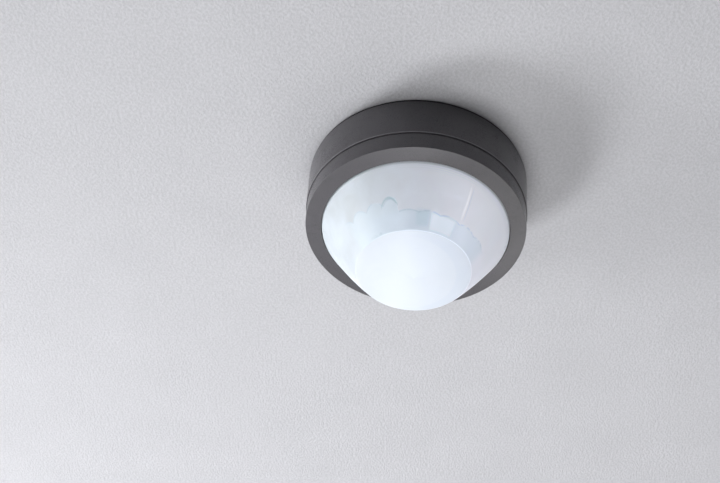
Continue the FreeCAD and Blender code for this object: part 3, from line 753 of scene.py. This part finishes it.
wall = 0.9
tiers = ((24, 0.02, 0.36), (18, 0.36, 0.70), (12, 0.70, 0.97))
last_share = tiers[-1][2]
inside = [(144, collar_radius - 1.4, lens_top), (24, cone_radius(0) - wall - 0.3, ring_face)]
for sides, start, end in tiers:
    inside += [(sides, cone_radius(share) - wall, ring_face + cone_height * share) for share in (start, end)]
inside += [(8, cone_radius(last_share) - wall - 0.6, ring_face + cone_height * last_share + 0.3),
           (8, 10, lens_tip - 2 * wall)]
loops = [loop_at(lens, lens_top, smallest=51)] + [circle(lens, *tier) for tier in inside]
for first, second in zip(loops, loops[1:]):
    bmesh.ops.bridge_loops(lens, edges=first + second)
bmesh.ops.contextual_create(lens, geom=loops[-1])
bmesh.ops.recalc_face_normals(lens, faces=lens.faces)
lens_piece = finished("lens_shell", lens, [opal_plastic], "lens_dome", 30)
print(len(lens_piece.data.polygons), "faces in the lens")

# %% [markdown]
# ## Screws
# Four small pan-head screws hold the module together and two hold the power board. A cross recess is
# easiest from the middle outwards: a square, four arms extruded from its sides, then a round rim
# bridged to the cross. The rest of the head is extruded from the rim.


# %% Boxes and loops
def boxes_of(node):
    """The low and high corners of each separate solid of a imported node, in millimetres."""
    shape = skin_of(node)
    seen, boxes = set(), []
    for start in shape.verts:
        if start in seen:
            continue
        seen.add(start)
        waiting, spots = [start], []
        while waiting:
            vert = waiting.pop()
            spots.append(vert.co / mm)
            nearby = {edge.other_vert(vert) for edge in vert.link_edges} - seen
            seen |= nearby
            waiting += nearby
        boxes.append([Vector(limit(spot[axis] for spot in spots) for axis in range(3))
                      for limit in (min, max)])
    shape.free()
    return boxes


def pulled(shape, edges, radius, depth):
    """Extrudes a loop of edges to a new radius and depth, and gives the new edges."""
    made = bmesh.ops.extrude_edge_only(shape, edges=edges)
    ring = corners_of(made)
    grow = radius * mm / ring[0].co.xy.length
    bmesh.ops.scale(shape, vec=(grow, grow, 1), verts=ring)
    bmesh.ops.translate(shape, vec=(0, 0, -depth * mm - ring[0].co.z), verts=ring)
    return [part for part in made["geom"] if isinstance(part, bmesh.types.BMEdge)]


print(len(boxes_of("module_screws")), "module screws and", len(boxes_of("board_screws")), "board screws")


# %% One cross-head screw
def cross_screw(head_radius, head_height, shank_radius, shank_length):
    """A pan-head screw that points down, with the top of its head at the origin."""
    screw = bmesh.new()
    bmesh.ops.create_grid(screw, x_segments=1, y_segments=1, size=head_radius * 0.14 * mm)
    for side in list(screw.edges):
        away = (side.verts[0].co + side.verts[1].co).normalized() * head_radius * 0.38 * mm
        arm = corners_of(bmesh.ops.extrude_edge_only(screw, edges=[side]))
        bmesh.ops.translate(screw, vec=away, verts=arm)
    cross = list(screw.faces)
    cross_edges = [edge for edge in screw.edges if edge.is_boundary]
    rim = bmesh.ops.create_circle(screw, segments=24, radius=head_radius * 0.72 * mm)["verts"]
    edges = edges_between(rim)
    bmesh.ops.bridge_loops(screw, edges=edges + cross_edges)
    recess = corners_of(bmesh.ops.extrude_face_region(screw, geom=cross))
    bmesh.ops.delete(screw, geom=cross, context="FACES_KEEP_BOUNDARY")
    bmesh.ops.translate(screw, vec=(0, 0, -head_height * 0.55 * mm), verts=recess)
    bmesh.ops.scale(screw, vec=(0.75, 0.75, 1), verts=recess)
    for radius, depth in ((head_radius * 0.93, head_height * 0.22), (head_radius, head_height * 0.5),
                          (head_radius, head_height), (shank_radius, head_height),
                          (shank_radius, head_height + shank_length)):
        edges = pulled(screw, edges, radius, depth)
    bmesh.ops.contextual_create(screw, geom=edges)
    bmesh.ops.recalc_face_normals(screw, faces=screw.faces)
    return screw


print("a screw can be made")


# %% Screws in their places
def crosshead(node, facing, head_radius, head_height, shank_radius):
    """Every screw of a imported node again. The heads face up for 1 and down for -1."""
    screws = bmesh.new()
    for low, high in boxes_of(node):
        screw = cross_screw(head_radius, head_height, shank_radius, high.z - low.z - head_height)
        x, y = (low.xy + high.xy) / 2
        place = Matrix.Translation((x * mm, y * mm, (high.z if facing > 0 else low.z) * mm))
        flip = Matrix.Rotation(0 if facing > 0 else math.pi, 4, "X")
        screw.transform(place @ flip @ Matrix.Rotation(x, 4, "Z"))
        part = bpy.data.meshes.new("part")
        screw.to_mesh(part)
        screw.free()
        screws.from_mesh(part)
        bpy.data.meshes.remove(part)
    return finished(node + "_crosshead", screws, [zinc_steel], node)


screws = [crosshead("module_screws", 1, 2.0, 1.2, 1.1), crosshead("board_screws", -1, 2.4, 1.4, 1.25)]
print([len(piece.data.polygons) for piece in screws], "faces in module and board screws")

# %% [markdown]
# ## Controls
# Under the trim ring there are two dials, four slide switches and a button. The dials are knurled so
# that a finger can turn them, and slotted for a small screwdriver. Every second corner of a circle is
# pulled in to make the knurl.

# %% Dials
knurls = 40
dial_radius, dial_height = 2.225, 5.2
post_radius, post_length = 1.0, 2.3
slot_half_width, slot_depth = 0.4, 1.2


def lowest(shape):
    """The lowest face, and the widest of those that are level."""
    return min(shape.faces, key=lambda face: (face.calc_center_median().z, -face.calc_area()))


def dial(node, azimuth):
    """A knurled dial with a slot across its face. The slot points to an azimuth."""
    shape = bmesh.new()
    corners = bmesh.ops.create_circle(shape, cap_ends=True, segments=knurls, radius=dial_radius * mm)["verts"]
    bmesh.ops.scale(shape, vec=(0.93, 0.93, 1), verts=corners[::2])
    side = corners_of(bmesh.ops.extrude_face_region(shape, geom=shape.faces[:]))
    bmesh.ops.translate(shape, vec=(0, 0, dial_height * mm), verts=side)
    bmesh.ops.recalc_face_normals(shape, faces=shape.faces)
    bevelled(shape, list(lowest(shape).edges), 0.25, 2)
    bmesh.ops.inset_region(shape, faces=[lowest(shape)], thickness=0.2 * mm)
    strip = lowest(shape)
    for sign in (-1, 1):
        bmesh.ops.bisect_plane(shape, geom=[strip, *strip.edges, *strip.verts],
                               plane_co=(0, sign * slot_half_width * mm, 0), plane_no=(0, 1, 0))
        strip = min((face for face in shape.faces if face.calc_center_median().z < 0.01 * mm),
                    key=lambda face: abs(face.calc_center_median().y) - face.calc_area() * 1e3)
    slot = corners_of(bmesh.ops.extrude_face_region(shape, geom=[strip]))
    bmesh.ops.delete(shape, geom=[strip], context="FACES_KEEP_BOUNDARY")
    bmesh.ops.translate(shape, vec=(0, 0, slot_depth * mm), verts=slot)
    spun(shape, [(0, 0), (post_radius, 0), (post_radius, post_length), (0, post_length)], 16,
         centre=(0, 0, dial_height - 0.1), along=(0, 0, 1))
    low, high = boxes_of(node)[0]
    x, y = (low.xy + high.xy) / 2
    shape.transform(Matrix.Translation((x * mm, y * mm, low.z * mm))
                    @ Matrix.Rotation(math.radians(azimuth), 4, "Z"))
    bmesh.ops.recalc_face_normals(shape, faces=shape.faces)
    return finished(node + "_knurled", shape, [white_plastic], node, 28)


dials = [dial("time_dial", -98), dial("light_dial", -82)]
print(len(dials), "dials")

# %% Switches and button
for number in range(1, 5):
    rounded(f"mode_slider_{number}", 0.16, white_plastic)
    rounded(f"terminal_pusher_{number}", 0.3, orange_plastic)
rounded("switch_body", 0.1, black_plastic)
rounded("program_button", 0.2, white_plastic)
rounded("dial_bodies", 0.15, white_plastic)
rounded("button_contact", 0.03, spring_steel)
print("switches, pushers and button")

# %% [markdown]
# ## Springs
# The clips for the ring and the catches for the module are bent from spring strip. Blanking leaves
# hardly any edge, so their round is only a few hundredths of a millimetre.

# %% Clips and catches
rounded("ring_clips", 0.06, spring_steel)
rounded("module_catches", 0.07, spring_steel)
rounded("terminal_clamps", 0.05, spring_steel)
print("springs")

# %% [markdown]
# ## Electrical parts
# These show when the module is taken off. Their shapes are plain, so the small things matter: the groove
# round a relay's case, the shallow panel on its face, the rolled groove of a capacitor. Two cuts across
# a case leave a belt of narrow faces, and pushing the belt in makes the groove.

# %% Cases with a groove
groove_width, groove_depth = 0.35, 0.18
panel_depth = 0.2


def cased(node, width, finish, seam, panel):
    """A box-shaped part with soft edges, a groove round it and a shallow panel on its face."""
    shape = skin_of(node)
    top = boxes_of(node)[0][1].z - seam
    for height in (top, top - groove_width):
        bmesh.ops.bisect_plane(shape, geom=shape.verts[:] + shape.edges[:] + shape.faces[:],
                               plane_co=(0, 0, height * mm), plane_no=(0, 0, 1))
    front = min(shape.faces, key=lambda face: face.calc_center_median().z)
    bmesh.ops.inset_region(shape, faces=[front], thickness=panel * mm, use_even_offset=True)
    bmesh.ops.translate(shape, vec=(0, 0, panel_depth * mm), verts=list(front.verts))
    soften(shape, width, 60)
    belt = [face for face in shape.faces if abs(face.normal.z) < 0.1
            and top - groove_width < face.calc_center_median().z / mm < top]
    bmesh.ops.inset_region(shape, faces=belt, thickness=0.01 * mm, depth=-groove_depth * mm,
                           use_even_offset=True)
    return finished(node + "_cased", shape, [finish], node)


cased("relay", 0.5, relay_plastic, 1.0, 1.4)
cased("film_capacitor", 0.45, grey_plastic, 0.9, 0.9)
cased("fuse", 0.4, relay_plastic, 1.1, 0.8)
print("relay, film capacitor and fuse")


# %% Capacitor cans
def capacitors():
    """Cans that lie along x, with a sleeve, a rubber plug at the leads and a bare end."""
    shape = bmesh.new()
    for low, high in boxes_of("electrolytic_capacitors"):
        middle = (low + high) / 2
        radius = (high.z - low.z) / 2
        plug_end = [(0, -6.5), (2.7, -6.5), (2.9, -6.95), (3.6, -6.95), (radius, -6.6)]
        groove = [(radius, -5.4), (3.55, -5.1), (3.55, -4.9), (radius, -4.6)]
        bare_end = [(radius, 6.5), (3.65, 6.95), (3.1, 6.95), (2.9, 6.7), (0, 6.7)]
        spun(shape, plug_end + groove + bare_end, 40, centre=middle, axis=(1, 0, 0), out=(0, 0, 1),
             along=(1, 0, 0))
        for face in shape.faces:
            spot = face.calc_center_median() / mm - middle
            if spot.x > 6.6 and spot.yz.length < 3.1:
                face.material_index = 1
            elif spot.x < -6.4 and spot.yz.length < 2.8:
                face.material_index = 2
    bmesh.ops.recalc_face_normals(shape, faces=shape.faces)
    return finished("electrolytic_capacitor_cans", shape, [capacitor_sleeve, tinned, grommet_rubber],
                    "electrolytic_capacitors", 40)


print(len(capacitors().data.polygons), "faces in two capacitor cans")

# %% Varistor, transformer and rectifier
varistor = bmesh.new()
low, high = boxes_of("varistor")[0]
spun(varistor, [(0, -1.75), (2.4, -1.7), (3.3, -1.25), (3.66, 0), (3.3, 1.25), (2.4, 1.7), (0, 1.75)], 36,
     centre=(low + high) / 2, axis=(1, 0, 0), out=(0, 0, 1), along=(1, 0, 0))
bmesh.ops.recalc_face_normals(varistor, faces=varistor.faces)
finished("varistor_dipped", varistor, [blue_resin], "varistor", 60)
rounded("transformer", 0.25, ferrite_core)
rounded("transformer_winding", 0.9, copper_winding, steps=4)
rounded("rectifier", 0.25, relay_plastic)
print("varistor, transformer and rectifier")

# %% Boards, sockets and the parts on the sensor board
rounded("power_board", 0.08, board_green)
rounded("sensor_board", 0.08, board_green)
rounded("terminal_block", 0.18, grey_plastic)
rounded("board_socket", 0.12, relay_plastic)
rounded("module_plug", 0.08, relay_plastic)
rounded("sensor_tower", 0.4, black_plastic)
rounded("pyro_sensors", 0.3, nickel, steps=3)
rounded("pyro_windows", 0.05, infrared_window)
rounded("light_sensor", 0.15, cast_resin)
rounded("status_light", 0.15, cast_resin)
rounded("microcontroller", 0.12, relay_plastic)
rounded("board_parts", 0.08, brown_ceramic)

# %% [markdown]
# ## Ceiling, floor and light
# The sensor hangs on a plain pale ceiling. The plane has a hole where the sensor covers it, so that the
# back can still be lit and seen when the sensor is looked at from above; from there the ceiling lets
# the view through. A plain pale floor lies far below. A small light near the window throws the shadow, a
# wide one stands for the bright room, and one low at the left grazes the drum, so that its side goes
# from dark to pale. Weaker lights on the right, behind and above keep the far sides from turning
# black. The floor and the room are pale to the camera, and softer in reflections, but they light the
# sensor only a little, or the shadow would fade.


# %% Paint for the surroundings
def plain(name, colour, shine=0.0):
    """Matt paint with a fine grain."""
    finish = Finish(name, Emission_Strength=shine)
    tone = noise(finish, 45 * mm, 4)
    fine = ramp(finish, noise(finish, 1.6 * mm, 4), 0.3, 0.7)
    dark = [channel * 0.88 for channel in colour]
    pale = [channel * 1.12 for channel in colour]
    finish.wear(Base_Color=mix(finish, tone * 0.4 + fine * 0.6, dark, pale), Roughness=0.82 + 0.08 * fine)
    relief(finish, fine, 0.12 * mm)
    return finish


def open_from_behind(finish):
    """Hides a plane from a camera that looks at its back."""
    behind = finish.node("ShaderNodeNewGeometry", output="Backfacing")
    seen = finish.node("ShaderNodeLightPath", output="Is Camera Ray")
    clear = finish.node("ShaderNodeBsdfTransparent")
    both = finish.node("ShaderNodeMixShader", {}, {0: behind * seen})
    mixer = both.socket.node
    finish.tree.links.new(finish.shader.outputs[0], mixer.inputs[1])
    finish.tree.links.new(clear.socket, mixer.inputs[2])
    finish.tree.links.new(both.socket, finish.tree.nodes["Material Output"].inputs["Surface"])


def stage_piece(name, shape, finish):
    """A piece of the surroundings, which isn't part of the sensor."""
    mesh = bpy.data.meshes.new(name)
    shape.to_mesh(mesh)
    shape.free()
    mesh.materials.append(finish.material)
    piece = bpy.data.objects.new(name, mesh)
    bpy.context.scene.collection.objects.link(piece)


print("paint ready")

# %% Ceiling
ceiling_gap = 0.05
hole_radius, ceiling_radius = 60.0, 3000.0
ceiling_paint = plain("pale_ceiling", (0.44, 0.44, 0.46))
open_from_behind(ceiling_paint)
ceiling = bmesh.new()
hole = circle(ceiling, 96, hole_radius, -ceiling_gap)
bmesh.ops.bridge_loops(ceiling, edges=hole + circle(ceiling, 96, ceiling_radius, -ceiling_gap))
for face in ceiling.faces:
    if face.normal.z > 0:
        face.normal_flip()
stage_piece("ceiling", ceiling, ceiling_paint)
print("ceiling", 2 * ceiling_radius * mm, "m across, with a hole of", 2 * hole_radius, "mm")

# %% Floor
floor_depth, floor_radius = 2.4, 20
floor = bmesh.new()
bmesh.ops.create_circle(floor, cap_ends=True, segments=96, radius=floor_radius,
                        matrix=Matrix.Translation((0, 0, -floor_depth)))
floor_paint = plain("pale_floor", (0.72, 0.71, 0.70), shine=1.0)
seen = floor_paint.node("ShaderNodeLightPath", output="Is Camera Ray")
mirrored = floor_paint.node("ShaderNodeLightPath", output="Is Glossy Ray")
floor_paint.wear(Emission_Color=mix(floor_paint, seen + 0.5 * mirrored, (0, 0, 0), (0.50, 0.50, 0.51)))
stage_piece("floor", floor, floor_paint)
print("floor", floor_depth, "m below the ceiling")


# %% Lights
def softbox(name, place, size, power, colour=(1, 1, 1)):
    """A square light that faces the sensor."""
    light = bpy.data.lights.new(name, "AREA")
    light.energy, light.size, light.color = power, size, colour
    lamp = bpy.data.objects.new(name, light)
    lamp.location = place
    lamp.rotation_euler = (Vector((0, 0, -0.03)) - Vector(place)).to_track_quat("-Z", "Y").to_euler()
    bpy.context.scene.collection.objects.link(lamp)


softbox("window_light", (-0.80, 0.66, -0.85), 0.33, 11.5, (0.97, 0.98, 1.0))
softbox("far_light", (0.55, 0.95, -1.2), 0.9, 6.5, (1.0, 0.99, 0.98))
softbox("room_light", (-0.12, 0.24, -2.0), 0.9, 19, (0.99, 0.995, 1.0))
softbox("side_light", (-1.9, -0.05, -0.36), 0.9, 32)
softbox("right_light", (1.9, 0.1, -0.45), 0.9, 3)
softbox("back_light", (-0.5, -0.6, 1.1), 0.9, 16)
print("six softboxes")

# %% Pale room
world = bpy.data.worlds.new("pale_room")
world.use_nodes = True
background = world.node_tree.nodes["Background"]
background.inputs["Color"].default_value = (0.93, 0.94, 0.97, 1)
seen = world.node_tree.nodes.new("ShaderNodeLightPath")
share = world.node_tree.nodes.new("ShaderNodeMath")
share.operation, share.inputs[1].default_value = "MULTIPLY_ADD", 0.35
strength = world.node_tree.nodes.new("ShaderNodeMapRange")
strength.inputs["To Min"].default_value, strength.inputs["To Max"].default_value = 0.04, 0.75
world.node_tree.links.new(seen.outputs["Is Glossy Ray"], share.inputs[0])
world.node_tree.links.new(seen.outputs["Is Camera Ray"], share.inputs[2])
world.node_tree.links.new(share.outputs[0], strength.inputs["Value"])
world.node_tree.links.new(strength.outputs[0], background.inputs["Strength"])
bpy.context.scene.world = world
bpy.context.scene.view_settings.view_transform = "Standard"
print("pale room, with a strength of 0.75 for the camera and 0.04 for the light")
